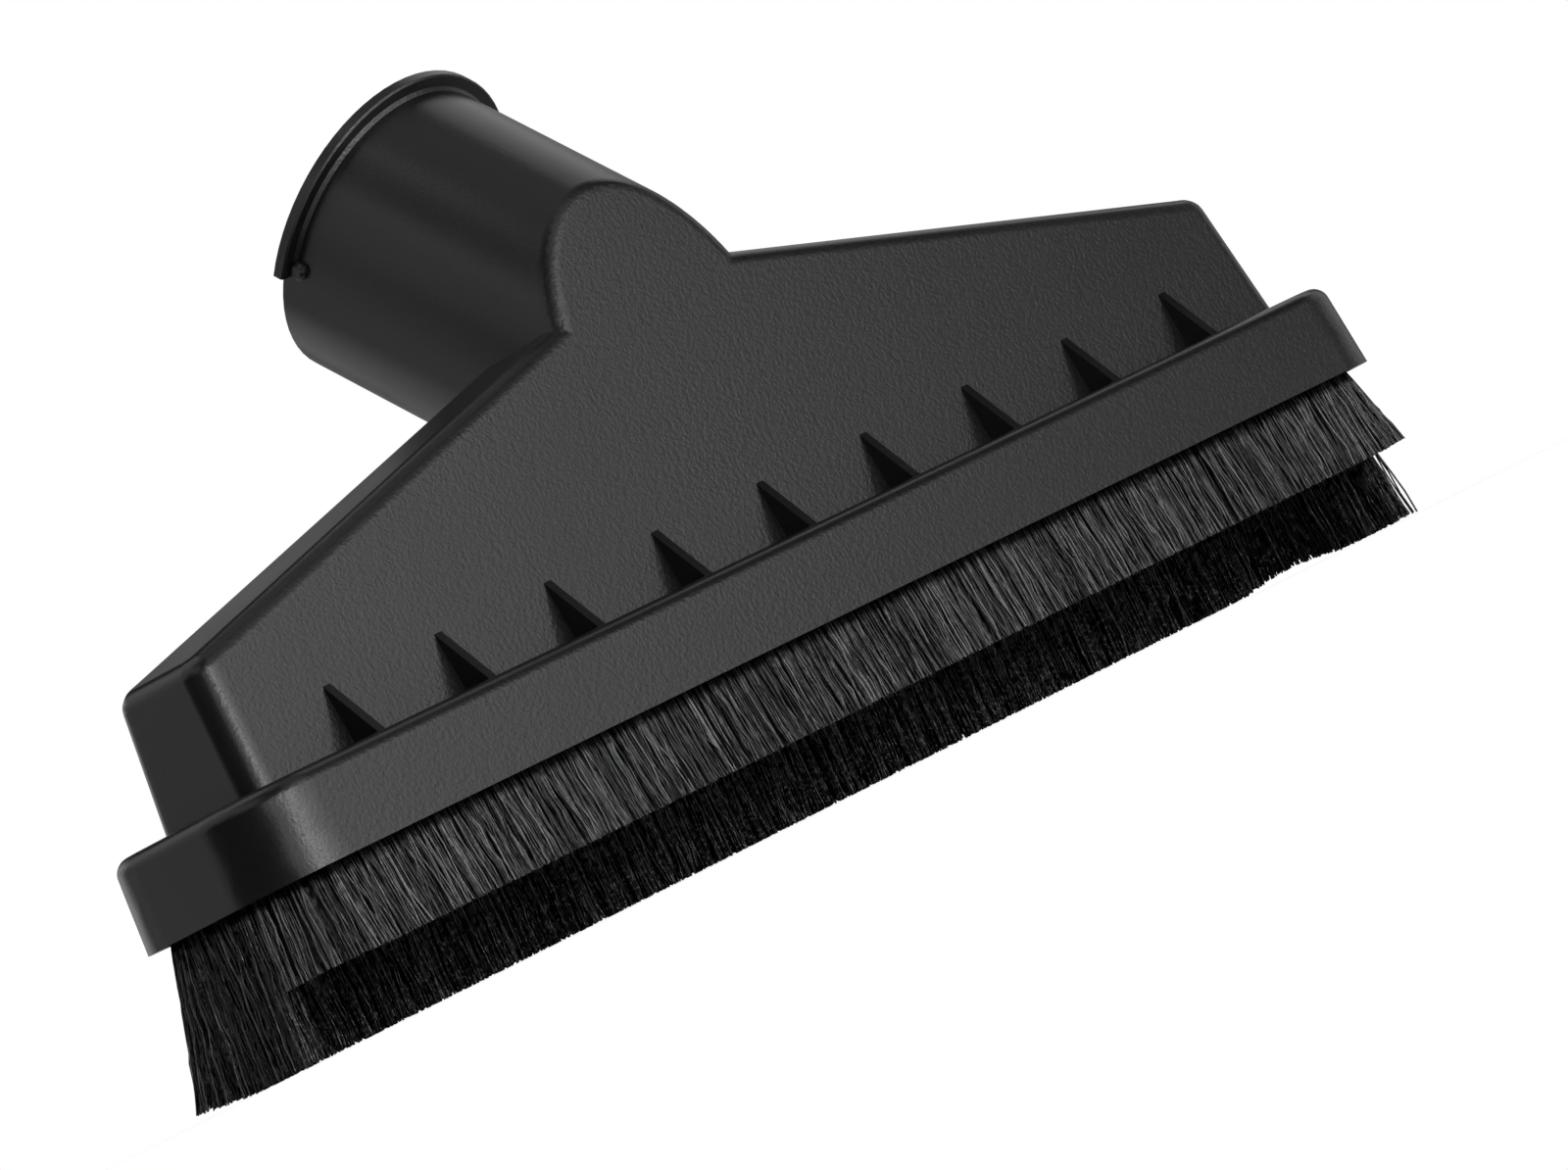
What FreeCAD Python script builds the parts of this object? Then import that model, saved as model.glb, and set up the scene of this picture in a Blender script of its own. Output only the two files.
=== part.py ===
"""Vacuum floor brush: a hollow moulded head on a ring of bristle strips.

Millimetres. X runs along the head, -Y is the ribbed front, +Z is up. The origin is the middle
of the footprint, on the floor that the long bristles stand on.
"""
import FreeCAD, Part
import math
import os
from FreeCAD import Vector

# Skirt: the rounded rectangular rim round the base of the head
skirt_length = 294.0
skirt_depth = 48.4
skirt_height = 16.0
skirt_corner_radius = 15.7
skirt_draft = 4.7          # degrees that its sides lean inward
skirt_top_round = 3.0
ledge_thickness = 2.6

# Bristle groove in the underside of the skirt
lip_thickness = 2.2
groove_width = 5.0
groove_depth = 6.4
rail_thickness = 2.0
shoulder_width = 1.4       # the step that the strips bear on, below the hollow over the groove

# Bristle strips
front_bristle_length = 15.6
rear_bristle_length = 28.0
strip_clearance = 0.1
strip_end_gap = 0.6
strip_recess = 1.0         # how far the strip back sits above the skirt's lower edge
bristle_width = 3.8
bristle_pitch = 3.0
flute_depth = 0.55
side_lean = 4.0            # degrees, along the straight runs
corner_lean = 16.0         # degrees, where the bristles fan out round a corner
tip_spread = 1.2           # how much wider than the root the row is at its tips

# Head: the hollow trapezoid above the skirt
head_length = 270.6
head_depth = 27.2
head_wall = 2.6
head_corner_radius = 4.8
head_front_lean = 5.0
head_back_lean = 4.2
head_end_lean = 5.8
roof_peak = 70.5           # above the skirt's lower edge, on the middle line
roof_slope = 13.1
roof_round = 3.8

# Neck: the tube that the hose or wand goes into
neck_bore = 47.6
neck_wall = 2.7
neck_tilt = 45.0           # above level, toward the back
neck_height = 54.9         # of its axis above the skirt's lower edge, in the middle of the head
neck_reach = 57.9          # along its axis from there to the rim
socket_depth = 40.5        # that a hose end or wand goes in, up to the stop
socket_stop = 1.0          # width of the shoulder that stops it
arch_round = 4.4

# Half collar round the upper side of the rim, and the stops beside its ends
collar_height = 2.75
collar_width = 2.0
collar_root_bevel = 0.6
collar_edge_bevel = 0.3
stop_pip_radius = 1.7
stop_pip_height = 1.3

# Gusset ribs along the front ledge
rib_count = 9
rib_pitch = 27.5
rib_thickness = 1.8
rib_rise = 10.7
rib_foot_inset = 4.4       # from the skirt's face to the foot of the rib

skirt_base = rear_bristle_length
skirt_top = skirt_base + skirt_height
roof_top = skirt_base + roof_peak
neck_radius = neck_bore / 2 + neck_wall
groove_inset = lip_thickness + groove_width / 2
groove_top = skirt_base + groove_depth


def tan(degrees):
    return math.tan(math.radians(degrees))


def plane_sided(low, high):
    """A solid between two four-cornered outlines, with flat faces."""
    faces = [low[::-1], high]
    for i in range(4):
        j = (i + 1) % 4
        faces.append([low[i], low[j], high[j], high[i]])
    return Part.makeSolid(Part.makeShell([Part.Face(Part.makePolygon(f + f[:1])) for f in faces]))


def rectangle(x, y, z):
    return [Vector(-x, -y, z), Vector(x, -y, z), Vector(x, y, z), Vector(-x, y, z)]


def ring_solid(inset, z_low, z_high, draft=0.0):
    """A solid in the skirt's plan outline, inset all round, between two heights."""
    step = inset + (z_high - z_low) * tan(draft)
    x, y, r = skirt_length / 2, skirt_depth / 2, skirt_corner_radius
    long_block = plane_sided(rectangle(x - r, y - inset, z_low), rectangle(x - r, y - step, z_high))
    wide_block = plane_sided(rectangle(x - inset, y - r, z_low), rectangle(x - step, y - r, z_high))
    corners = []
    for middle in rectangle(x - r, y - r, z_low):
        if draft:
            corners.append(Part.makeCone(r - inset, r - step, z_high - z_low, middle))
        else:
            corners.append(Part.makeCylinder(r - inset, z_high - z_low, middle))
    return long_block.fuse([wide_block] + corners).removeSplitter()


def box_between(low, high):
    size = [b - a for a, b in zip(low, high)]
    return Part.makeBox(size[0], size[1], size[2], Vector(*low))


def drawn_in(size, lean, z, wall):
    """Half the head's size across at a height, less a wall square to its leaning side."""
    return size / 2 - (z - skirt_top) * tan(lean) - wall / math.cos(math.radians(lean))


def head_front(z, wall=0.0):
    return -drawn_in(head_depth, head_front_lean, z, wall)


def head_back(z, wall=0.0):
    return drawn_in(head_depth, head_back_lean, z, wall)


def head_end(z, wall=0.0):
    return drawn_in(head_length, head_end_lean, z, wall)


def leaning_block(z_low, z_high, wall):
    """The four leaning sides of the head, drawn in by a wall thickness."""
    outlines = []
    for z in (z_low, z_high):
        x, front, back = head_end(z, wall), head_front(z, wall), head_back(z, wall)
        outlines.append([Vector(-x, front, z), Vector(x, front, z), Vector(x, back, z), Vector(-x, back, z)])
    return plane_sided(outlines[0], outlines[1])


def under_roof(wall):
    """Everything below the two roof slopes, drawn in by a wall thickness."""
    peak = roof_top - wall / math.cos(math.radians(roof_slope))
    reach = skirt_length
    eave = peak - reach * tan(roof_slope)
    floor = eave - reach
    outline = [Vector(-reach, -reach, floor), Vector(reach, -reach, floor), Vector(reach, -reach, eave),
               Vector(0, -reach, peak), Vector(-reach, -reach, eave), Vector(-reach, -reach, floor)]
    return Part.Face(Part.makePolygon(outline)).extrude(Vector(0, 2 * reach, 0))


def behind_front(wall):
    """Everything behind the leaning plane of the head's front."""
    reach = skirt_length
    low, high = skirt_base - reach, roof_top + reach
    outline = [Vector(-reach, head_front(low, wall), low), Vector(-reach, head_front(high, wall), high),
               Vector(-reach, 2 * reach, high), Vector(-reach, 2 * reach, low),
               Vector(-reach, head_front(low, wall), low)]
    return Part.Face(Part.makePolygon(outline)).extrude(Vector(2 * reach, 0, 0))


neck_axis = Vector(0, math.cos(math.radians(neck_tilt)), math.sin(math.radians(neck_tilt)))
neck_up = Vector(0, -neck_axis.z, neck_axis.y)
neck_middle = Vector(0, 0, skirt_base + neck_height)
rim_middle = neck_middle + neck_axis * neck_reach


def tube(radius, behind, beyond=0.0):
    """A round bar on the neck's axis, from below the head's front to past the rim."""
    start = neck_middle - neck_axis * 2 * head_length / 3
    bar = Part.makeCylinder(radius, (rim_middle - start).Length + beyond, start, neck_axis)
    return bar.common(behind)


def make_head_outside():
    block = leaning_block(skirt_top - ledge_thickness, roof_top, 0.0).common(under_roof(0.0))
    upright = []
    for edge in block.Edges:
        box = edge.BoundBox
        if box.ZMin < skirt_top and box.ZLength > skirt_height / 2:
            upright.append(edge)
    block = block.makeFillet(head_corner_radius, upright)
    roof_edges = [edge for edge in block.Edges
                  if edge.BoundBox.ZMin > skirt_top + head_corner_radius
                  and edge.BoundBox.YLength + edge.BoundBox.XLength > head_corner_radius / 2
                  and not is_ridge(edge) and edge.BoundBox.ZLength < skirt_length / 2]
    return block.makeFillet(roof_round, roof_edges)


def is_ridge(edge):
    """The line where the two roof slopes meet."""
    box = edge.BoundBox
    return box.XLength < 0.01 and abs(box.Center.x) < 0.01


def make_neck_outside():
    """The neck's outer form, trimmed flush with the head's front, with its arched edge rounded."""
    bar = tube(neck_radius, behind_front(0.0))
    arch = [edge for edge in bar.Edges if edge.BoundBox.Center.z < rim_middle.z - neck_radius
            and edge.Length > 3 * neck_radius and edge.BoundBox.XLength > neck_radius]
    return bar.makeFillet(arch_round, arch)


def on_collar(edge, radius):
    """Whether an edge is the long arc of that radius along the collar's face toward the head."""
    middle = rim_middle - neck_axis * collar_width
    points = [edge.valueAt(edge.FirstParameter + t * (edge.LastParameter - edge.FirstParameter))
              for t in (0.1, 0.5, 0.9)]
    same_plane = all(abs((p - middle).dot(neck_axis)) < 0.01 for p in points)
    same_radius = all(abs((p - middle).Length - radius) < 0.01 for p in points)
    upper_side = (points[1] - middle).dot(neck_up) > 0
    return same_plane and same_radius and upper_side and edge.Length > radius


def make_neck_and_collar():
    """The neck with a half ring that stands out round the upper side of its rim."""
    start = rim_middle - neck_axis * collar_width
    ring = Part.makeCylinder(neck_radius + collar_height, collar_width, start, neck_axis)
    keep = Part.makeBox(4 * neck_radius, 4 * neck_radius, 4 * neck_radius,
                        Vector(-2 * neck_radius, 0, -2 * neck_radius))
    turned = FreeCAD.Placement(rim_middle, FreeCAD.Rotation(Vector(0, 1, 0), neck_up))
    keep.Placement = turned.multiply(keep.Placement)
    neck = make_neck_outside().fuse(ring.common(keep)).removeSplitter()
    neck = neck.makeChamfer(collar_root_bevel, [e for e in neck.Edges if on_collar(e, neck_radius)])
    outer = neck_radius + collar_height
    return neck.makeChamfer(collar_edge_bevel, [e for e in neck.Edges if on_collar(e, outer)])


def make_stop_pip():
    """A small round stop on the neck, under one end of the collar."""
    middle = rim_middle - neck_axis * (collar_width + stop_pip_radius - 0.2) + neck_up * stop_pip_radius
    buried = neck_wall / 2
    pip = Part.makeCylinder(stop_pip_radius, stop_pip_height + buried, middle - Vector(neck_radius - buried, 0, 0),
                            Vector(-1, 0, 0))
    outer = [e for e in pip.Edges if e.BoundBox.XMax < middle.x - neck_radius - stop_pip_height / 2]
    return pip.makeChamfer(stop_pip_height / 2, outer)


def make_ribs():
    """Thin triangular gussets from the head's front down to the ledge."""
    apex = skirt_top + rib_rise
    foot = -skirt_depth / 2 + rib_foot_inset
    low = skirt_top - ledge_thickness / 2
    outline = [Vector(0, foot, low), Vector(0, foot, skirt_top), Vector(0, head_front(apex), apex),
               Vector(0, head_front(apex, head_wall / 2), apex), Vector(0, head_front(low, head_wall / 2), low),
               Vector(0, foot, low)]
    rib = Part.Face(Part.makePolygon(outline)).extrude(Vector(rib_thickness, 0, 0))
    return [rib.translated(Vector((i - (rib_count - 1) / 2) * rib_pitch - rib_thickness / 2, 0, 0))
            for i in range(rib_count)]


def make_housing():
    """Head, neck, collar, skirt and ribs, moulded as one hollow piece."""
    skirt = ring_solid(0.0, skirt_base, skirt_top, skirt_draft)
    rim = [edge for edge in skirt.Edges if edge.BoundBox.ZMin > skirt_top - 0.01]
    skirt = skirt.makeFillet(skirt_top_round, rim)

    under_ledge = skirt_top - ledge_thickness
    mouth_inset = lip_thickness + groove_width + rail_thickness
    groove = ring_solid(lip_thickness, skirt_base - 1, groove_top)
    hollow = ring_solid(lip_thickness + shoulder_width, groove_top - 1, under_ledge)
    rail = ring_solid(lip_thickness + groove_width, skirt_base - 1, under_ledge)
    groove = groove.fuse(hollow).cut(rail)
    mouth = ring_solid(mouth_inset, skirt_base - 1, under_ledge)

    inside = leaning_block(skirt_base, roof_top, head_wall).common(under_roof(head_wall))
    throat = tube(neck_bore / 2 - socket_stop, behind_front(head_wall), 1.0)
    socket = Part.makeCylinder(neck_bore / 2, socket_depth + 1, rim_middle - neck_axis * socket_depth, neck_axis)

    housing = skirt.fuse([make_head_outside(), make_neck_and_collar()])
    housing = housing.fuse(make_ribs())
    housing = housing.cut(groove).cut(mouth).cut(inside).cut(throat).cut(socket)
    pip = make_stop_pip()
    return housing.fuse([pip, pip.mirror(Vector(0, 0, 0), Vector(1, 0, 0))]).removeSplitter()


class StripPath:
    """The line that a bristle strip follows round the skirt, at the middle of the groove."""

    def __init__(self, front):
        self.front = front
        self.radius = skirt_corner_radius - groove_inset
        self.x = skirt_length / 2 - skirt_corner_radius
        self.y = skirt_depth / 2 - skirt_corner_radius
        self.arc = self.radius * math.pi / 2
        self.side = 0.0 if front else 2 * self.y
        self.length = 2 * self.side + 2 * self.arc + 2 * self.x

    def at(self, distance):
        """The point, the outward direction and how far into a corner (0 to 1) at a distance."""
        sign = -1 if self.front else 1
        runs = [self.side, self.arc, 2 * self.x, self.arc, self.side]
        run = 0
        while run < 4 and distance > runs[run]:
            distance -= runs[run]
            run += 1
        if run == 0:
            return Vector(-self.x - self.radius, sign * (-self.y + distance), 0), Vector(-1, 0, 0), 0.0
        if run == 1 or run == 3:
            turn = distance / self.radius
            angle = math.pi - turn if run == 1 else math.pi / 2 - turn
            out = Vector(math.cos(angle), sign * math.sin(angle), 0)
            middle = Vector(self.x if run == 3 else -self.x, sign * self.y, 0)
            return middle + out * self.radius, out, math.sin(2 * turn) ** 2
        if run == 2:
            return Vector(-self.x + distance, sign * (self.y + self.radius), 0), Vector(0, sign, 0), 0.0
        return Vector(self.x + self.radius, sign * (self.y - distance), 0), Vector(1, 0, 0), 0.0


def strip_outline(path, z, half_width, lean_length, flute, steps):
    """A closed outline round both faces of a strip, fluted where flute is above nought."""
    outer, inner = [], []
    for i in range(steps + 1):
        point, out, corner = path.at(strip_end_gap / 2 + (path.length - strip_end_gap) * i / steps)
        lean = side_lean + (corner_lean - side_lean) * corner
        shift = lean_length * tan(lean)
        clump = 0.6 + 0.4 * math.sin(1.7 * i) * math.sin(0.37 * i)
        ridge = flute * clump * (1 if i % 2 else -1) / 2
        outer.append(point + out * (shift + half_width + ridge) + Vector(0, 0, z))
        inner.append(point + out * (shift - half_width - ridge) + Vector(0, 0, z))
    points = outer + inner[::-1]
    return Part.makePolygon(points + points[:1])


def make_bristles(front):
    """A dense row of bristles: fluted from root to tip, fanning out as it goes down."""
    path = StripPath(front)
    length = front_bristle_length if front else rear_bristle_length
    root = skirt_base + strip_recess
    drop = length + strip_recess
    steps = 2 * round(path.length / bristle_pitch)
    top = strip_outline(path, root, bristle_width / 2, 0.0, flute_depth / 2, steps)
    tips = strip_outline(path, root - drop, (bristle_width + tip_spread) / 2, drop, flute_depth * 1.5, steps)
    return Part.makeLoft([top, tips], True, True)


def make_strip_back(front):
    """The moulded back that holds a row's roots and slides into the groove."""
    z_low = skirt_base + strip_recess
    z_high = groove_top
    outer = ring_solid(lip_thickness + strip_clearance, z_low, z_high)
    inner = ring_solid(lip_thickness + groove_width - strip_clearance, z_low, z_high)
    split = -(skirt_depth / 2 - skirt_corner_radius)
    far = skirt_length
    if front:
        keep = box_between((-far, -far, 0), (far, split - strip_end_gap / 2, far))
    else:
        keep = box_between((-far, split + strip_end_gap / 2, 0), (far, far, far))
    return outer.cut(inner).common(keep)


def main():
    os.makedirs("parts", exist_ok=True)
    nodes = {
        "housing": make_housing(),
        "front_strip_back": make_strip_back(True),
        "front_bristles": make_bristles(True),
        "rear_strip_back": make_strip_back(False),
        "rear_bristles": make_bristles(False),
    }
    for name, shape in nodes.items():
        box = shape.BoundBox
        print(name, "solids", len(shape.Solids), "valid", shape.isValid(), "volume", round(shape.Volume),
              "x", round(box.XMin, 1), round(box.XMax, 1), "y", round(box.YMin, 1), round(box.YMax, 1),
              "z", round(box.ZMin, 1), round(box.ZMax, 1))
        shape.exportStep("parts/" + name + ".step")


main()
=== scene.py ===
# Vacuum floor brush: a moulded black housing on two rows of black bristles, on a pale studio floor.
import math

import bpy
import bmesh
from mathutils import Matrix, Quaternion, Vector


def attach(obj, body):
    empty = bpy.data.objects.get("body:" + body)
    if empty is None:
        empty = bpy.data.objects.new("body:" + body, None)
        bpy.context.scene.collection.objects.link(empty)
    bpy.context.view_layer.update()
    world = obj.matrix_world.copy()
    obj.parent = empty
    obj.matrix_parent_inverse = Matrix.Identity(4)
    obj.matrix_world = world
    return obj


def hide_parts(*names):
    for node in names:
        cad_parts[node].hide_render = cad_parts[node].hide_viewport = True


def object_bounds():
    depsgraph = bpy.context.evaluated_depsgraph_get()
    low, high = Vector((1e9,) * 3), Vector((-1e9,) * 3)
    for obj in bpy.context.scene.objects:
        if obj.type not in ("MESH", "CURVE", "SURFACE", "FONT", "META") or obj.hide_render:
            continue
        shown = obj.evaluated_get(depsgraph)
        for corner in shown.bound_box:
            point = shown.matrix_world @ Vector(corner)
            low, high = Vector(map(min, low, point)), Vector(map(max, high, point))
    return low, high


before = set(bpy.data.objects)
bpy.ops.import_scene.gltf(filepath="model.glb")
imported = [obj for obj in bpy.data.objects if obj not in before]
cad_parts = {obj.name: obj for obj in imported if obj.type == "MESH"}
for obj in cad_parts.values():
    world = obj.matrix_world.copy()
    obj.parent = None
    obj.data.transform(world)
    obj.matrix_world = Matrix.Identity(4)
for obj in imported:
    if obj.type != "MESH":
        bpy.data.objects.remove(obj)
startLow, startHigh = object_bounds()
print("frame loaded", sorted(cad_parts))


def linear(hexColour):
    # sRGB hex to the linear values that a shader takes
    parts = [int(hexColour[i:i + 2], 16) / 255 for i in (1, 3, 5)]
    return [p / 12.92 if p <= 0.04045 else ((p + 0.055) / 1.055) ** 2.4 for p in parts] + [1.0]


def addNode(tree, kind, inputs=None, **settings):
    # a node with its settings, then its sockets: a link where the value is a socket, else a number
    node = tree.nodes.new(kind)
    for name, value in settings.items():
        setattr(node, name, value)
    for key, value in (inputs or {}).items():
        if isinstance(value, bpy.types.NodeSocket):
            tree.links.new(value, node.inputs[key])
        else:
            node.inputs[key].default_value = value
    return node


def newMaterial(name):
    material = bpy.data.materials.new(name)
    material.use_nodes = True
    material.node_tree.nodes.clear()
    return material, material.node_tree


# Black ABS from a spark-eroded mould: matt, with a fine pebble on the broad front and a smoother neck.
def mouldedBlackAbs():
    look = {
        "colour": "#0e0e0f",
        "worn": "#171719",         # the pebble's tops, rubbed a little lighter
        "roughness": 0.31,
        "grainSize": 0.75,         # mm from pebble to pebble, drawn as coarse as the render can show
        "grainHeight": 0.050,      # mm
        "flowSize": 45.0,          # mm, the faint clouding of the melt
    }
    material, tree = newMaterial("sparkErodedBlackAbs")
    place = addNode(tree, "ShaderNodeTexCoord").outputs["Object"]
    normal = addNode(tree, "ShaderNodeNewGeometry").outputs["Normal"]
    facing = addNode(tree, "ShaderNodeVectorMath", {0: normal, 1: (0, -1, 0)},
                     operation="DOT_PRODUCT").outputs["Value"]
    front = addNode(tree, "ShaderNodeMapRange", {"Value": facing, "From Min": 0.75, "From Max": 0.95,
                                                 "To Min": 0.25, "To Max": 1.0}).outputs["Result"]
    pebble = addNode(tree, "ShaderNodeTexVoronoi", {"Vector": place, "Scale": 1000 / look["grainSize"]},
                     feature="SMOOTH_F1").outputs["Distance"]
    fine = addNode(tree, "ShaderNodeTexNoise", {"Vector": place, "Scale": 1900 / look["grainSize"],
                                                "Detail": 2.0}).outputs["Fac"]
    grain = addNode(tree, "ShaderNodeMath", {0: pebble, 1: fine}, operation="SUBTRACT").outputs[0]
    cloud = addNode(tree, "ShaderNodeTexNoise", {"Vector": place, "Scale": 1000 / look["flowSize"],
                                                 "Detail": 3.0}).outputs["Fac"]
    tops = addNode(tree, "ShaderNodeMapRange", {"Value": grain, "From Min": 0.1,
                                                "From Max": -0.3}).outputs["Result"]
    share = addNode(tree, "ShaderNodeMath", {0: tops, 1: front}, operation="MULTIPLY").outputs[0]
    colour = addNode(tree, "ShaderNodeMix", {"Factor": share, "A": linear(look["colour"]),
                                             "B": linear(look["worn"])}, data_type="RGBA").outputs["Result"]
    rough = addNode(tree, "ShaderNodeMapRange", {"Value": cloud, "From Min": 0.3, "From Max": 0.7,
                                                 "To Min": look["roughness"] - 0.03,
                                                 "To Max": look["roughness"] + 0.03}).outputs["Result"]
    bump = addNode(tree, "ShaderNodeBump", {"Strength": front, "Distance": look["grainHeight"] / 1000,
                                            "Height": grain}, invert=True).outputs["Normal"]
    shader = addNode(tree, "ShaderNodeBsdfPrincipled", {"Base Color": colour, "Roughness": rough,
                                                        "IOR": 1.53, "Normal": bump})
    addNode(tree, "ShaderNodeOutputMaterial", {"Surface": shader.outputs[0]})
    return material


# Black polypropylene strip, extruded: smooth and a little waxy.
def extrudedStrip():
    look = {"colour": "#161617", "roughness": 0.4, "streak": 0.4, "streakHeight": 0.02}   # mm for the lines
    material, tree = newMaterial("extrudedBlackPolypropylene")
    place = addNode(tree, "ShaderNodeTexCoord").outputs["Object"]
    stretch = addNode(tree, "ShaderNodeMapping", {"Vector": place, "Scale": (0.05, 1.0, 1.0)}).outputs[0]
    lines = addNode(tree, "ShaderNodeTexNoise", {"Vector": stretch, "Scale": 1000 / look["streak"],
                                                 "Detail": 1.0}).outputs["Fac"]
    bump = addNode(tree, "ShaderNodeBump", {"Strength": 0.3, "Distance": look["streakHeight"] / 1000,
                                            "Height": lines}).outputs["Normal"]
    shader = addNode(tree, "ShaderNodeBsdfPrincipled", {"Base Color": linear(look["colour"]), "IOR": 1.49,
                                                        "Roughness": look["roughness"], "Normal": bump})
    addNode(tree, "ShaderNodeOutputMaterial", {"Surface": shader.outputs[0]})
    return material


# Black nylon filament, drawn: each hair has its own depth of black and a narrow gloss down its length.
def drawnNylon(name, look):
    # a wave every 1.5 mm or so breaks the highlight into glints; the roots, packed tight under the
    # skirt, carry painted shade: their colour and shine are cut below what the lights alone leave them
    root = {
        "top": 26.9,               # mm above the floor, where the painted shade on the roots starts to lift
        "end": 25.6,               # mm, where the painted shade is gone
        "ragged": 2.6,             # mm, by which that line wanders
        "spacing": 1.2,            # mm, over which it wanders
        "shadedShare": 0.1,               # share of colour and shine that the painted shade leaves the roots
    }
    material, tree = newMaterial(name)
    place = addNode(tree, "ShaderNodeTexCoord").outputs["Object"]
    ragged = addNode(tree, "ShaderNodeTexNoise", {"Vector": place,
                                                  "Scale": 1000 / root["spacing"]}).outputs["Fac"]
    height = addNode(tree, "ShaderNodeSeparateXYZ", {"Vector": place}).outputs["Z"]
    height = addNode(tree, "ShaderNodeMath", {0: ragged, 1: root["ragged"] / 1000, 2: height},
                     operation="MULTIPLY_ADD").outputs[0]
    middle = root["ragged"] / 2
    # painted shade on the roots: colour and shine fall to a tenth below a ragged line under the skirt
    clear = addNode(tree, "ShaderNodeMapRange", {"Value": height, "From Min": (root["top"] + middle) / 1000,
                                                 "From Max": (root["end"] + middle) / 1000,
                                                 "To Min": root["shadedShare"], "To Max": 1.0}).outputs[0]
    shade = addNode(tree, "ShaderNodeAttribute", attribute_name="shade").outputs["Fac"]
    shade = addNode(tree, "ShaderNodeMath", {0: shade, 1: look["few"]}, operation="POWER").outputs[0]
    shade = addNode(tree, "ShaderNodeMath", {0: shade, 1: clear}, operation="MULTIPLY").outputs[0]
    colour = addNode(tree, "ShaderNodeMix", {"Factor": shade, "A": linear(look["dark"]),
                                             "B": linear(look["pale"])}, data_type="RGBA").outputs["Result"]
    rough = addNode(tree, "ShaderNodeMapRange", {"Value": shade, "To Min": look["roughness"] + 0.12,
                                                 "To Max": look["roughness"] - 0.04}).outputs["Result"]
    # the painted root shade also cuts the hairs' shine
    shine = addNode(tree, "ShaderNodeMath", {0: clear, 1: 0.5}, operation="MULTIPLY").outputs[0]
    waves = addNode(tree, "ShaderNodeTexNoise", {"Vector": place, "Scale": 1000 / look["wave"],
                                                 "Detail": 0.0}).outputs["Fac"]
    bent = addNode(tree, "ShaderNodeBump", {"Strength": 1.0, "Distance": look["waveHeight"] / 1000,
                                            "Height": waves}).outputs["Normal"]
    shader = addNode(tree, "ShaderNodeBsdfPrincipled", {"Base Color": colour, "Roughness": rough,
                                                        "IOR": 1.53, "Specular IOR Level": shine,
                                                        "Normal": bent})
    addNode(tree, "ShaderNodeOutputMaterial", {"Surface": shader.outputs[0]})
    return material


# Black nylon packed tight in the middle of a row, seen only as the dark between the outer hairs: a dull,
# near-black copy of the nylon with little shine, so partly painted shade.
def packedNylonPaintedShade():
    look = {"colour": "#060607", "roughness": 0.9, "spacing": 0.5, "depth": 0.2}   # mm for the hairs
    material, tree = newMaterial("packedBlackNylonPaintedShade")
    place = addNode(tree, "ShaderNodeTexCoord").outputs["Object"]
    stretch = addNode(tree, "ShaderNodeMapping", {"Vector": place, "Scale": (1.0, 1.0, 0.06)}).outputs[0]
    hairs = addNode(tree, "ShaderNodeTexNoise", {"Vector": stretch, "Scale": 1000 / look["spacing"],
                                                 "Detail": 1.0}).outputs["Fac"]
    bump = addNode(tree, "ShaderNodeBump", {"Strength": 0.6, "Distance": look["depth"] / 1000,
                                            "Height": hairs}).outputs["Normal"]
    shader = addNode(tree, "ShaderNodeBsdfPrincipled", {"Base Color": linear(look["colour"]), "IOR": 1.53,
                                                        "Specular IOR Level": 0.12,
                                                        "Roughness": look["roughness"], "Normal": bump})
    addNode(tree, "ShaderNodeOutputMaterial", {"Surface": shader.outputs[0]})
    return material


blackAbs = mouldedBlackAbs()
stripPlastic = extrudedStrip()
# dark and pale are the ends of the hairs' range, few is how rare the pale ones are, and the wave is in mm
frontNylon = drawnNylon("drawnBlackNylon", {"dark": "#040405", "pale": "#7c7c7e", "roughness": 0.24,
                                            "few": 2.4, "wave": 1.5, "waveHeight": 0.4})
# the rear row is the same nylon with darker pale hairs: painted shade for a row seen in the shade of the
# front row and at the dark left end
rearNylonPaintedShade = drawnNylon("crimpedBlackNylonPaintedShade", {"dark": "#030304", "pale": "#5e5e60", "roughness": 0.18,
                                             "few": 2.6, "wave": 1.6, "waveHeight": 1.4})
nylonCorePaintedShade = packedNylonPaintedShade()


# Housing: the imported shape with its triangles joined, so that its round parts shade as round.
def makeHousing():
    finish = {"weld": 0.000002, "sharpAngle": 24.0}   # metres, degrees
    shape = bmesh.new()
    shape.from_mesh(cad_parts["housing"].data)
    bmesh.ops.remove_doubles(shape, verts=shape.verts, dist=finish["weld"])
    bmesh.ops.dissolve_degenerate(shape, edges=shape.edges, dist=finish["weld"] / 4)
    for face in shape.faces:
        face.smooth = True
    limit = math.radians(finish["sharpAngle"])
    for edge in shape.edges:
        edge.smooth = len(edge.link_faces) == 2 and edge.calc_face_angle(math.pi) < limit
    mesh = bpy.data.meshes.new("moulding")
    shape.to_mesh(mesh)
    shape.free()
    draft = bpy.data.objects.new("mouldingDraft", mesh)
    bpy.context.scene.collection.objects.link(draft)
    level = draft.modifiers.new("evenShading", "WEIGHTED_NORMAL")
    level.mode, level.weight, level.keep_sharp = "FACE_AREA", 60, True
    dependency = bpy.context.evaluated_depsgraph_get()
    final = bpy.data.meshes.new_from_object(draft.evaluated_get(dependency))
    bpy.data.objects.remove(draft)
    final.name = "mouldedHousing"
    final.materials.clear()
    final.materials.append(blackAbs)
    housing = bpy.data.objects.new("mouldedHousing", final)
    bpy.context.scene.collection.objects.link(housing)
    return housing


housing = makeHousing()
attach(housing, "root")
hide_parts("housing")
print("housing", len(housing.data.polygons), "faces")

for name in ("front_strip_back", "rear_strip_back"):
    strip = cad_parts[name]
    strip.data.materials.clear()
    strip.data.materials.append(stripPlastic)


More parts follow.
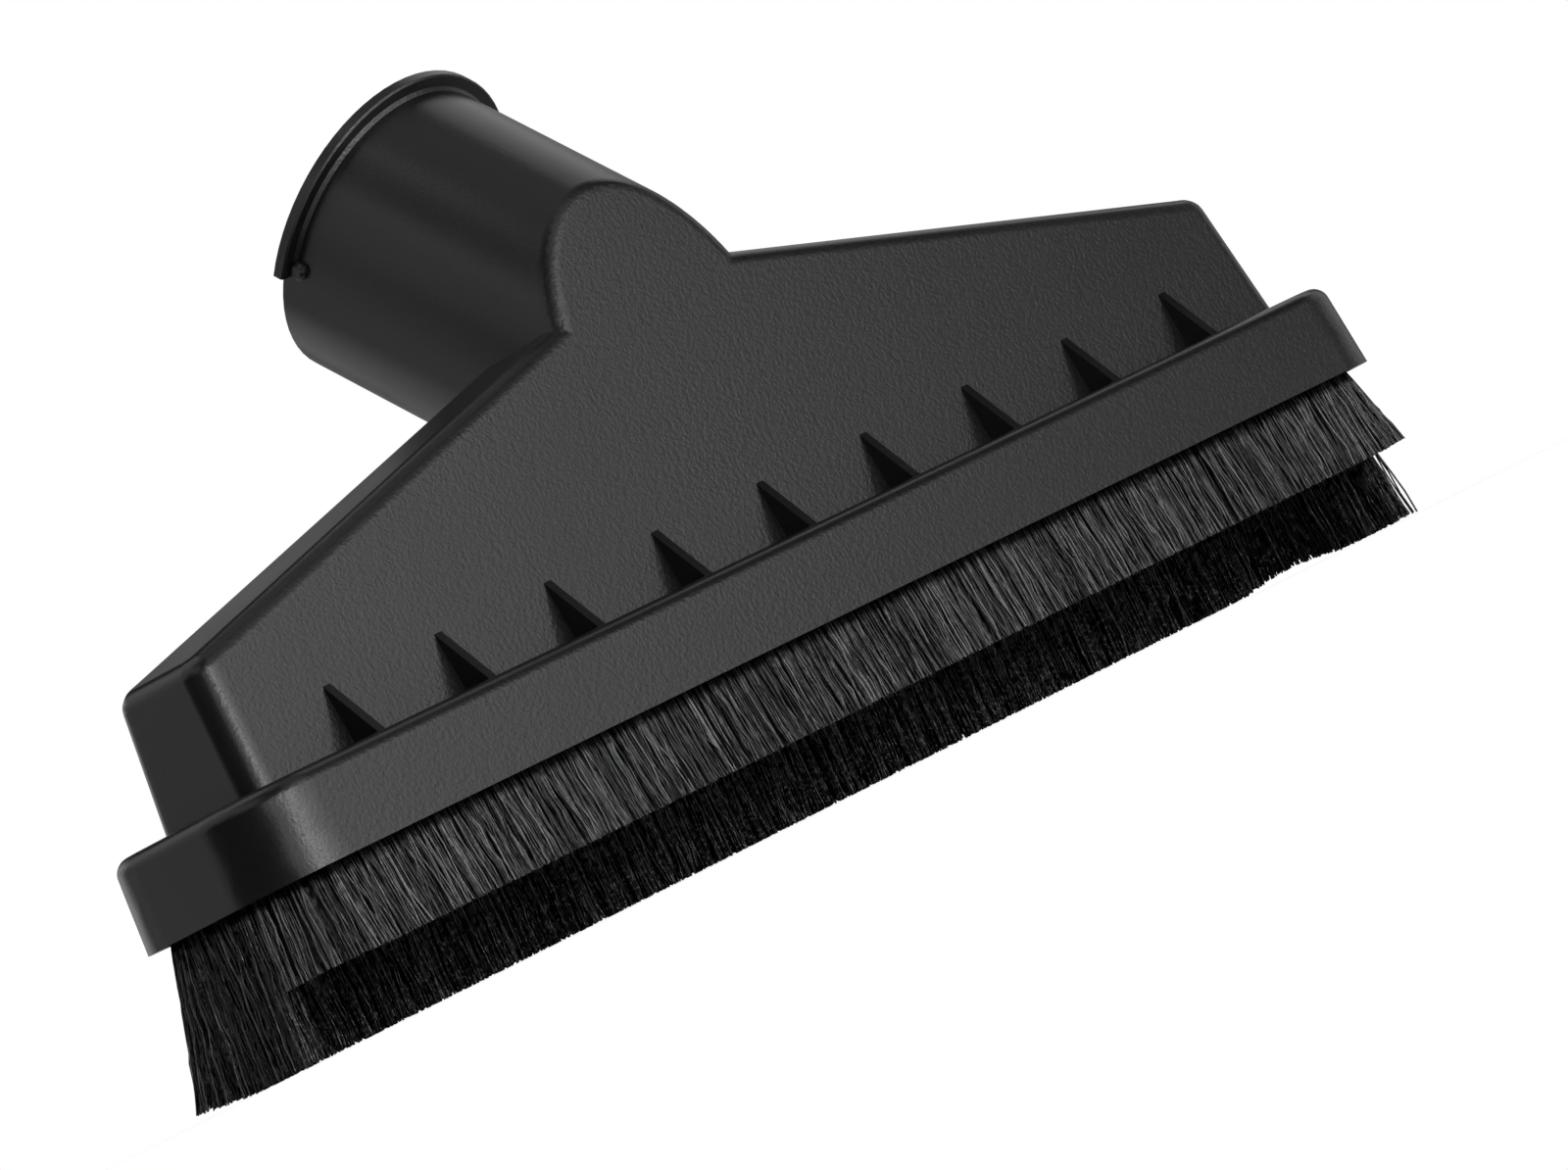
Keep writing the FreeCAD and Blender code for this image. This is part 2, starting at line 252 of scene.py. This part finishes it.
# The line that a row of roots follows round the skirt, as a chain of edges in millimetres turned to
# metres, with the way outward and the lean of the hairs kept at every point.
def rowPath(name, front, lean, cornerLean):
    skirt = {"length": 294.0, "depth": 48.4, "inset": 4.7, "bend": 15.6, "rootHeight": 29.6,
             "parting": -8.5, "partingGap": 0.5}
    radius = skirt["bend"]
    x = skirt["length"] / 2 - skirt["inset"] - radius
    y = skirt["depth"] / 2 - skirt["inset"] - radius
    parting = math.asin((-y - skirt["parting"]) / radius)

    def bend(start, end, sign, steps):
        for i in range(steps + 1):
            turn = start + (end - start) * i / steps
            yield (-x - radius * math.cos(turn), sign * (y + radius * math.sin(turn)), -math.cos(turn),
                   sign * math.sin(turn), lean + (cornerLean - lean) * math.sin(2 * turn) ** 2)

    if front:
        half = list(bend(parting, math.pi / 2, -1, 14))
    else:
        gap = skirt["partingGap"] / radius
        half = list(bend(parting - gap, 0, -1, 3))
        half += [(-x - radius, -y + 2 * y * i / 4, -1, 0, lean) for i in range(1, 4)]
        half += list(bend(0, math.pi / 2, 1, 16))
    sign = -1 if front else 1
    points = list(half)
    for i in range(1, 40):
        points.append((-x + 2 * x * i / 40, sign * (y + radius), 0, sign, lean))
    points += [(-p[0], p[1], -p[2], p[3], p[4]) for p in half[::-1]]
    mesh = bpy.data.meshes.new(name)
    mesh.from_pydata([(p[0] / 1000, p[1] / 1000, skirt["rootHeight"] / 1000) for p in points],
                     [(i, i + 1) for i in range(len(points) - 1)], [])
    mesh.attributes.new("outward", "FLOAT_VECTOR", "POINT")
    mesh.attributes.new("lean", "FLOAT", "POINT")
    for i, p in enumerate(points):
        mesh.attributes["outward"].data[i].vector = (p[2], p[3], 0)
        mesh.attributes["lean"].data[i].value = math.tan(math.radians(p[4]))
    path = bpy.data.objects.new(name, mesh)
    bpy.context.scene.collection.objects.link(path)
    return path


# Hairs set in loose tufts along a path: crimped, leaning outward, gathered in clumps and cut level.
def bristleTree():
    tree = bpy.data.node_groups.new("bristleRow", "GeometryNodeTree")
    face = tree.interface
    face.new_socket("Geometry", in_out="OUTPUT", socket_type="NodeSocketGeometry")
    face.new_socket("Geometry", in_out="INPUT", socket_type="NodeSocketGeometry")
    for name, kind in (("Count", "Int"), ("Joints", "Int"), ("Seed", "Int"), ("Path Length", "Float"),
                       ("Length", "Float"), ("Thickness", "Float"), ("Root Width", "Float"),
                       ("Tip Spread", "Float"), ("Tuft Pitch", "Float"), ("Tuft Pull", "Float"),
                       ("Clump", "Float"), ("Clump Size", "Float"), ("Stray", "Float"), ("Crimp", "Float"),
                       ("Crimp Count", "Float"), ("Cut", "Float"), ("Lowest", "Vector"),
                       ("Highest", "Vector"), ("Material", "Material")):
        face.new_socket(name, in_out="INPUT", socket_type="NodeSocket" + kind)
    given = tree.nodes.new("NodeGroupInput").outputs

    def number(operation, a, b=0.0):
        return addNode(tree, "ShaderNodeMath", {0: a, 1: b}, operation=operation).outputs[0]

    def vector(operation, a, b=(0, 0, 0)):
        return addNode(tree, "ShaderNodeVectorMath", {0: a, 1: b}, operation=operation).outputs[0]

    def scaled(a, factor):
        return addNode(tree, "ShaderNodeVectorMath", {0: a, "Scale": factor}, operation="SCALE").outputs[0]

    def named(name, kind):
        return addNode(tree, "GeometryNodeInputNamedAttribute", {"Name": name},
                       data_type=kind).outputs["Attribute"]

    def stored(geometry, name, value, kind):
        return addNode(tree, "GeometryNodeStoreNamedAttribute", {"Geometry": geometry, "Name": name,
                                                                 "Value": value},
                       data_type=kind, domain="POINT").outputs[0]

    def chance(shift, low=0.0, high=1.0):
        seed = number("ADD", given["Seed"], shift)
        return addNode(tree, "FunctionNodeRandomValue", {2: low, 3: high, "Seed": seed},
                       data_type="FLOAT").outputs[1]

    def sideways(place, size):
        noise = addNode(tree, "ShaderNodeTexNoise", {"Vector": place, "Scale": size,
                                                     "Detail": 1.0}).outputs["Color"]
        return vector("MULTIPLY", vector("SUBTRACT", noise, (0.5, 0.5, 0.5)), (1, 1, 0))

    line = addNode(tree, "GeometryNodeMeshToCurve", {"Mesh": given["Geometry"]}).outputs[0]
    roots = addNode(tree, "GeometryNodePoints", {"Count": given["Count"]}).outputs[0]
    index = addNode(tree, "GeometryNodeInputIndex").outputs[0]
    spot = number("DIVIDE", number("ADD", index, chance(1)), given["Count"])
    spot = number("MULTIPLY", spot, given["Path Length"])
    tuft = number("ADD", number("FLOOR", number("DIVIDE", spot, given["Tuft Pitch"])), 0.5)
    pull = number("MULTIPLY", number("SUBTRACT", number("MULTIPLY", tuft, given["Tuft Pitch"]), spot),
                  number("MULTIPLY", given["Tuft Pull"], chance(7)))
    spot = number("ADD", spot, pull)

    def sampled(name, kind):
        return addNode(tree, "GeometryNodeSampleCurve", {"Curves": line, "Length": spot,
                                                         "Value": named(name, kind)},
                       mode="LENGTH", data_type=kind, use_all_curves=True).outputs

    way = sampled("outward", "FLOAT_VECTOR")
    leaning = sampled("lean", "FLOAT")["Value"]
    outward = vector("NORMALIZE", way["Value"])
    side = number("SIGN", chance(2, -0.5, 0.5))
    across = number("MULTIPLY", side, number("SUBTRACT", 0.5, number("POWER", chance(8, 0.0, 0.7), 1.6)))
    loose = addNode(tree, "FunctionNodeRandomValue", {"Min": (-1, -1, 0), "Max": (1, 1, 0),
                                                      "Seed": number("ADD", given["Seed"], 4)},
                    data_type="FLOAT_VECTOR").outputs[0]
    wild = number("ADD", 0.4, number("MULTIPLY", number("POWER", chance(9), 24.0), 4.0))
    start = scaled(outward, number("MULTIPLY", across, given["Root Width"]))
    start = vector("ADD", way["Position"], start)
    held = stored(roots, "outward", outward, "FLOAT_VECTOR")
    held = stored(held, "lean", leaning, "FLOAT")
    held = stored(held, "across", across, "FLOAT")
    held = stored(held, "shade", chance(3), "FLOAT")
    held = stored(held, "loose", loose, "FLOAT_VECTOR")
    held = stored(held, "wild", wild, "FLOAT")
    held = stored(held, "root", start, "FLOAT_VECTOR")
    held = addNode(tree, "GeometryNodeSetPosition", {"Geometry": held, "Position": start}).outputs[0]

    rod = addNode(tree, "GeometryNodeCurvePrimitiveLine", {"End": (0, 0, -1)}).outputs[0]
    rod = addNode(tree, "GeometryNodeResampleCurve", {"Curve": rod, "Count": given["Joints"]}).outputs[0]
    rod = stored(rod, "along", addNode(tree, "GeometryNodeSplineParameter").outputs["Factor"], "FLOAT")
    ring = addNode(tree, "GeometryNodeCurvePrimitiveCircle", {"Resolution": 3, "Radius": 0.5}).outputs[0]
    hair = addNode(tree, "GeometryNodeCurveToMesh", {"Curve": rod, "Profile Curve": ring,
                                                     "Fill Caps": True}).outputs[0]
    hair = addNode(tree, "GeometryNodeSetShadeSmooth", {"Geometry": hair}).outputs[0]
    cut = number("SUBTRACT", 1.0, number("MULTIPLY", chance(5), given["Cut"]))
    thick = number("MULTIPLY", given["Thickness"], chance(10, 0.8, 1.15))
    length = number("MULTIPLY", given["Length"], cut)
    size = addNode(tree, "ShaderNodeCombineXYZ", {0: thick, 1: thick, 2: length}).outputs[0]
    turn = addNode(tree, "ShaderNodeCombineXYZ", {2: chance(6, 0.0, 6.28)}).outputs[0]
    hairs = addNode(tree, "GeometryNodeInstanceOnPoints", {"Points": held, "Instance": hair,
                                                           "Rotation": turn, "Scale": size}).outputs[0]
    hairs = addNode(tree, "GeometryNodeRealizeInstances", {"Geometry": hairs}).outputs[0]

    along = named("along", "FLOAT")
    bend = number("POWER", along, 1.4)
    root = named("root", "FLOAT_VECTOR")
    loose = named("loose", "FLOAT_VECTOR")
    # a hair that leans ends higher by as much as it is turned
    slope = named("lean", "FLOAT")
    stretch = number("SQRT", number("ADD", 1.0, number("MULTIPLY", slope, slope)))
    reach = number("DIVIDE", number("MULTIPLY", along, given["Length"]), stretch)
    lean = number("MULTIPLY", slope, reach)
    lift = number("SUBTRACT", number("MULTIPLY", along, given["Length"]), reach)
    spread = number("MULTIPLY", number("MULTIPLY", named("across", "FLOAT"), given["Tip Spread"]), along)
    move = scaled(named("outward", "FLOAT_VECTOR"), number("ADD", lean, spread))
    move = vector("ADD", move, addNode(tree, "ShaderNodeCombineXYZ", {2: lift}).outputs[0])
    clump = sideways(root, number("DIVIDE", 1.0, given["Clump Size"]))
    move = vector("ADD", move, scaled(clump, number("MULTIPLY", bend, given["Clump"])))
    stray = number("MULTIPLY", number("MULTIPLY", bend, given["Stray"]), named("wild", "FLOAT"))
    move = vector("ADD", move, scaled(loose, stray))
    climb = number("MULTIPLY", along, given["Crimp Count"])
    climb = addNode(tree, "ShaderNodeCombineXYZ", {2: climb}).outputs[0]
    crimp = sideways(vector("ADD", scaled(loose, 60.0), climb), 1.0)
    freed = number("MINIMUM", number("MULTIPLY", along, 4.0), 1.0)
    move = vector("ADD", move, scaled(crimp, number("MULTIPLY", freed, given["Crimp"])))
    place = vector("ADD", addNode(tree, "GeometryNodeInputPosition").outputs[0], move)
    place = vector("MINIMUM", vector("MAXIMUM", place, given["Lowest"]), given["Highest"])
    hairs = addNode(tree, "GeometryNodeSetPosition", {"Geometry": hairs, "Position": place}).outputs[0]
    for name in ("outward", "lean", "across", "loose", "wild", "root", "along"):
        hairs = addNode(tree, "GeometryNodeRemoveAttribute", {"Geometry": hairs, "Name": name}).outputs[0]
    hairs = addNode(tree, "GeometryNodeSetMaterial", {"Geometry": hairs,
                                                      "Material": given["Material"]}).outputs[0]
    addNode(tree, "NodeGroupOutput", {"Geometry": hairs})
    return tree


rowTree = bristleTree()


def makeRow(name, path, sizes, core, nylon):
    rows = path.modifiers.new("row", "NODES")
    rows.node_group = rowTree
    sockets = {s.name: s.identifier for s in rowTree.interface.items_tree if s.in_out == "INPUT"}
    points = [Vector(v.co) for v in path.data.vertices]
    sizes["Path Length"] = sum((b - a).length for a, b in zip(points, points[1:]))
    room = 0.0001
    sizes["Lowest"] = [v + room for v in startLow]
    sizes["Highest"] = [v - room for v in startHigh]
    for key, value in sizes.items():
        rows[sockets[key]] = value
    rows[sockets["Material"]] = nylon
    dependency = bpy.context.evaluated_depsgraph_get()
    mesh = bpy.data.meshes.new_from_object(path.evaluated_get(dependency))
    # the imported middle of the row, which lets no light through; its dull near-black nylon is painted
    # shade between the hairs
    shape = bmesh.new()
    shape.from_mesh(mesh)
    shade = shape.verts.layers.float.get("shade")
    rings = []
    for i, point in list(enumerate(points))[1:-1]:
        outward = Vector(path.data.attributes["outward"].data[i].vector)
        lean = math.atan(path.data.attributes["lean"].data[i].value)
        ring = []
        for share, half in ((0.0, core["root"] / 2), (core["reach"], core["tip"] / 2)):
            reach = sizes["Length"] * share
            for side in (-1, 1):
                corner = shape.verts.new(point + outward * (math.sin(lean) * reach + side * half)
                                         - Vector((0, 0, math.cos(lean) * reach)))
                corner[shade] = 0.0
                ring.append(corner)
        rings.append([ring[0], ring[1], ring[3], ring[2]])
    sides = [shape.faces.new((near[j], near[(j + 1) % 4], far[(j + 1) % 4], far[j]))
             for near, far in zip(rings, rings[1:]) for j in range(4)]
    sides += [shape.faces.new(rings[0][::-1]), shape.faces.new(rings[-1])]
    bmesh.ops.recalc_face_normals(shape, faces=sides)
    for side in sides:
        side.material_index = 1
    shape.to_mesh(mesh)
    shape.free()
    mesh.materials.append(nylonCorePaintedShade)
    bpy.data.objects.remove(path)
    mesh.name = name
    row = bpy.data.objects.new(name, mesh)
    bpy.context.scene.collection.objects.link(row)
    print(name, sum(len(p.vertices) - 2 for p in mesh.polygons), "triangles")
    return row


# Sizes of each row in metres. Tuft Pull, Crimp Count and Cut are shares or counts.
frontSizes = {"Count": 6000, "Joints": 6, "Seed": 11, "Length": 0.0172, "Thickness": 0.00038,
              "Root Width": 0.0038, "Tip Spread": 0.0012, "Tuft Pitch": 0.003, "Tuft Pull": 0.35,
              "Clump": 0.0018, "Clump Size": 0.003, "Stray": 0.0006, "Crimp": 0.0017,
              "Crimp Count": 5.0, "Cut": 0.02}
frontRow = makeRow("frontBristleRow", rowPath("frontPath", True, 4.0, 12.0), frontSizes,
                   {"root": 0.0018, "tip": 0.0016, "reach": 0.9}, frontNylon)
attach(frontRow, "root")
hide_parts("front_bristles")

rearSizes = {"Count": 4400, "Joints": 8, "Seed": 23, "Length": 0.0296, "Thickness": 0.00042,
             "Root Width": 0.0038, "Tip Spread": 0.0014, "Tuft Pitch": 0.003, "Tuft Pull": 0.3,
             "Clump": 0.0018, "Clump Size": 0.003, "Stray": 0.0008, "Crimp": 0.0021,
             "Crimp Count": 8.0, "Cut": 0.018}
rearRow = makeRow("rearBristleRow", rowPath("rearPath", False, 4.0, 16.0), rearSizes,
                  {"root": 0.0018, "tip": 0.0026, "reach": 0.97}, rearNylonPaintedShade)
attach(rearRow, "root")
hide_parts("rear_bristles")


# Studio: a pale floor, a white surround that the camera sees, and soft panels.
studio = {
    "floorSize": 6.0,
    "floorColour": "#f4f4f4",
    "floorGlow": 0.9,           # share of plain white that the camera sees on the floor by the object
    "shadowReach": (0.12, 0.2), # metres from the middle, over which that share rises to all
    "surround": 0.016,          # how bright the surround is for the object
}


def makeStudio():
    mesh = bpy.data.meshes.new("studioFloor")
    reach = studio["floorSize"] / 2
    corners = [(-reach, -reach, 0), (reach, -reach, 0), (reach, reach, 0), (-reach, reach, 0)]
    mesh.from_pydata(corners, [], [(0, 1, 2, 3)])
    floor = bpy.data.objects.new("studioFloor", mesh)
    bpy.context.scene.collection.objects.link(floor)
    material, tree = newMaterial("paintedPaleFloor")
    ray = addNode(tree, "ShaderNodeLightPath").outputs["Is Camera Ray"]
    place = addNode(tree, "ShaderNodeTexCoord").outputs["Object"]
    far = addNode(tree, "ShaderNodeVectorMath", {0: place}, operation="LENGTH").outputs["Value"]
    near, edge = studio["shadowReach"]
    white = addNode(tree, "ShaderNodeMapRange", {"Value": far, "From Min": near, "From Max": edge,
                                                 "To Min": studio["floorGlow"], "To Max": 1.0},
                    interpolation_type="SMOOTHSTEP").outputs[0]
    share = addNode(tree, "ShaderNodeMath", {0: ray, 1: white}, operation="MULTIPLY").outputs[0]
    paint = addNode(tree, "ShaderNodeBsdfDiffuse", {"Color": linear(studio["floorColour"])}).outputs[0]
    glow = addNode(tree, "ShaderNodeEmission", {"Color": (1, 1, 1, 1), "Strength": 1.0}).outputs[0]
    both = addNode(tree, "ShaderNodeMixShader", {0: share, 1: paint, 2: glow}).outputs[0]
    addNode(tree, "ShaderNodeOutputMaterial", {"Surface": both})
    mesh.materials.append(material)

    world = bpy.data.worlds.new("studioSurround")
    world.use_nodes = True
    tree = world.node_tree
    tree.nodes.clear()
    ray = addNode(tree, "ShaderNodeLightPath").outputs["Is Camera Ray"]
    level = addNode(tree, "ShaderNodeMapRange", {"Value": ray, "To Min": studio["surround"],
                                                 "To Max": 1.0}).outputs[0]
    air = addNode(tree, "ShaderNodeBackground", {"Color": (1, 1, 1, 1), "Strength": level}).outputs[0]
    addNode(tree, "ShaderNodeOutputWorld", {"Surface": air})
    bpy.context.scene.world = world


def addPanel(name, place, aim, width, height, power):
    light = bpy.data.lights.new(name, "AREA")
    light.shape, light.size, light.size_y, light.energy = "RECTANGLE", width, height, power
    panel = bpy.data.objects.new(name, light)
    panel.location = place
    panel.rotation_euler = (Vector(aim) - Vector(place)).to_track_quat("-Z", "Y").to_euler()
    bpy.context.scene.collection.objects.link(panel)


# Where each panel stands (metres), how wide it is and its watts: a main pair to the right of the
# camera, a small one that draws a line on the round corners, one low by the left end, and a weak ring
# behind and above that draws the pale edges. The watts were fitted to the tones of the photograph, by
# least squares and then one by one.
panels = {
    "mainRight": ((0.50, -0.90, 0.30), 0.50, 1.56),
    "mainFront": ((0.00, -0.90, 0.25), 0.50, 2.18),
    "cornerGlint": ((-0.18, -0.94, 0.22), 0.20, 1.00),
    "lowLeft": ((-0.30, -0.50, 0.10), 0.30, 0.42),
    "sideRight": ((0.74, 0.00, 0.17), 0.45, 0.32),
    "backRight": ((0.53, 0.22, 0.55), 0.45, 0.53),
    "backLow": ((0.00, 0.74, 0.17), 0.45, 0.52),
    "backHigh": ((-0.22, 0.53, 0.55), 0.45, 0.43),
    "backLeft": ((-0.53, 0.22, 0.55), 0.45, 0.36),
    "backRightLow": ((0.52, 0.52, 0.17), 0.45, 0.22),
    "backLeftLow": ((-0.52, 0.52, 0.17), 0.45, 0.30),
    "sideLeft": ((-0.53, -0.22, 0.55), 0.45, 0.38),
    "overheadBack": ((-0.14, 0.14, 0.79), 0.45, 0.58),
    "overheadFront": ((0.14, -0.14, 0.79), 0.45, 0.22),
    "frontHigh": ((0.22, -0.53, 0.55), 0.45, 0.40),
    "frontRightLow": ((0.52, -0.52, 0.17), 0.45, 0.17),
}
makeStudio()
for name, (place, width, power) in panels.items():
    aim = (-0.05, 0.0, 0.06) if name in ("mainRight", "mainFront", "lowLeft") else (0.0, 0.0, 0.07)
    addPanel(name, place, aim, width, width, power)
print("studio ready")

# Camera: fitted to the object's edges in the photograph, nearly level with the bristle tips and rolled.
cameraData = bpy.data.cameras.new("studioCamera")
cameraData.sensor_width = 36.0
cameraData.lens = 280.5653
cameraData.clip_start, cameraData.clip_end = 0.02, 50.0
camera = bpy.data.objects.new("studioCamera", cameraData)
camera.location = (-1.459494, -1.480919, 0.001739)
camera.rotation_mode = "QUATERNION"
camera.rotation_quaternion = Quaternion((0.5696132, 0.7042357, -0.1122961, -0.4086349))
bpy.context.scene.collection.objects.link(camera)
bpy.context.scene.camera = camera
bpy.context.scene.view_settings.view_transform = "Standard"
